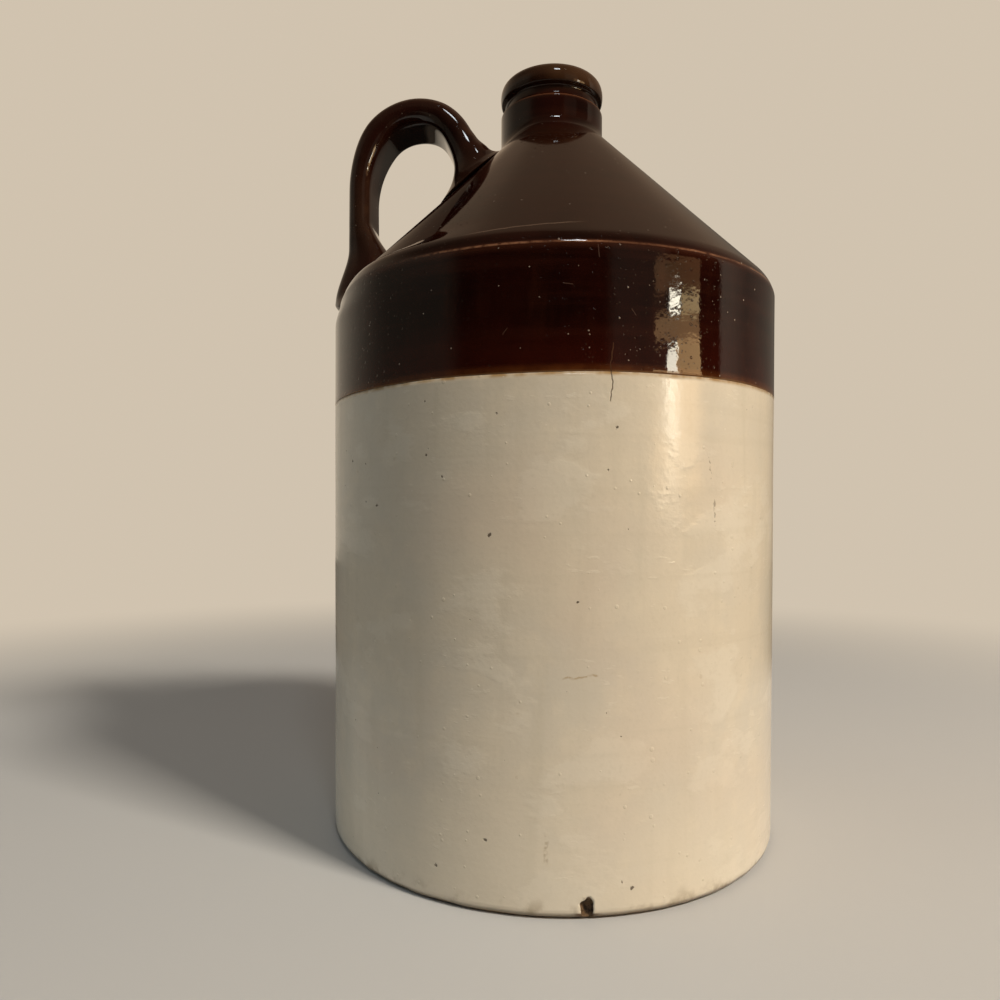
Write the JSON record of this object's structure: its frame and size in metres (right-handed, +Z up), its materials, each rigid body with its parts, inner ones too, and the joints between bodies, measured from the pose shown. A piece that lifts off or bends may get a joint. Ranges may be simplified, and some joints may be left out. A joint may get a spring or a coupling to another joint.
{
  "type": "stoneware jug",
  "caption": "Stoneware crock jug with a straight cream barrel, a dipped brown shoulder cone, a narrow neck with a rolled lip, and a strap handle, for storing and pouring liquids.",
  "frame": {"origin": "centre of the flat foot, on the surface the jug stands on", "axes": "+Z up along the jug's turning axis, handle towards -X, +Y to the back of the pictured side"},
  "size_m": [0.1734, 0.1734, 0.2955],
  "materials": {
    "stoneware_clay": "unglazed fired stoneware",
    "brown_glaze": "glossy dark brown slip glaze",
    "cream_glaze": "semi-gloss cream glaze",
    "slip_lining": "brown slip lining"
  },
  "bodies": {
    "root": {"base_disc": "stoneware_clay", "barrel_wall": "stoneware_clay", "shoulder_cone": "stoneware_clay", "neck_collar": "stoneware_clay", "lip_ring": "stoneware_clay", "handle_strap": "brown_glaze", "handle_upper_root": "brown_glaze", "handle_lower_root": "brown_glaze", "cream_glaze": "cream_glaze", "brown_glaze": "brown_glaze", "inner_lining": "slip_lining"}
  },
  "joints": []
}
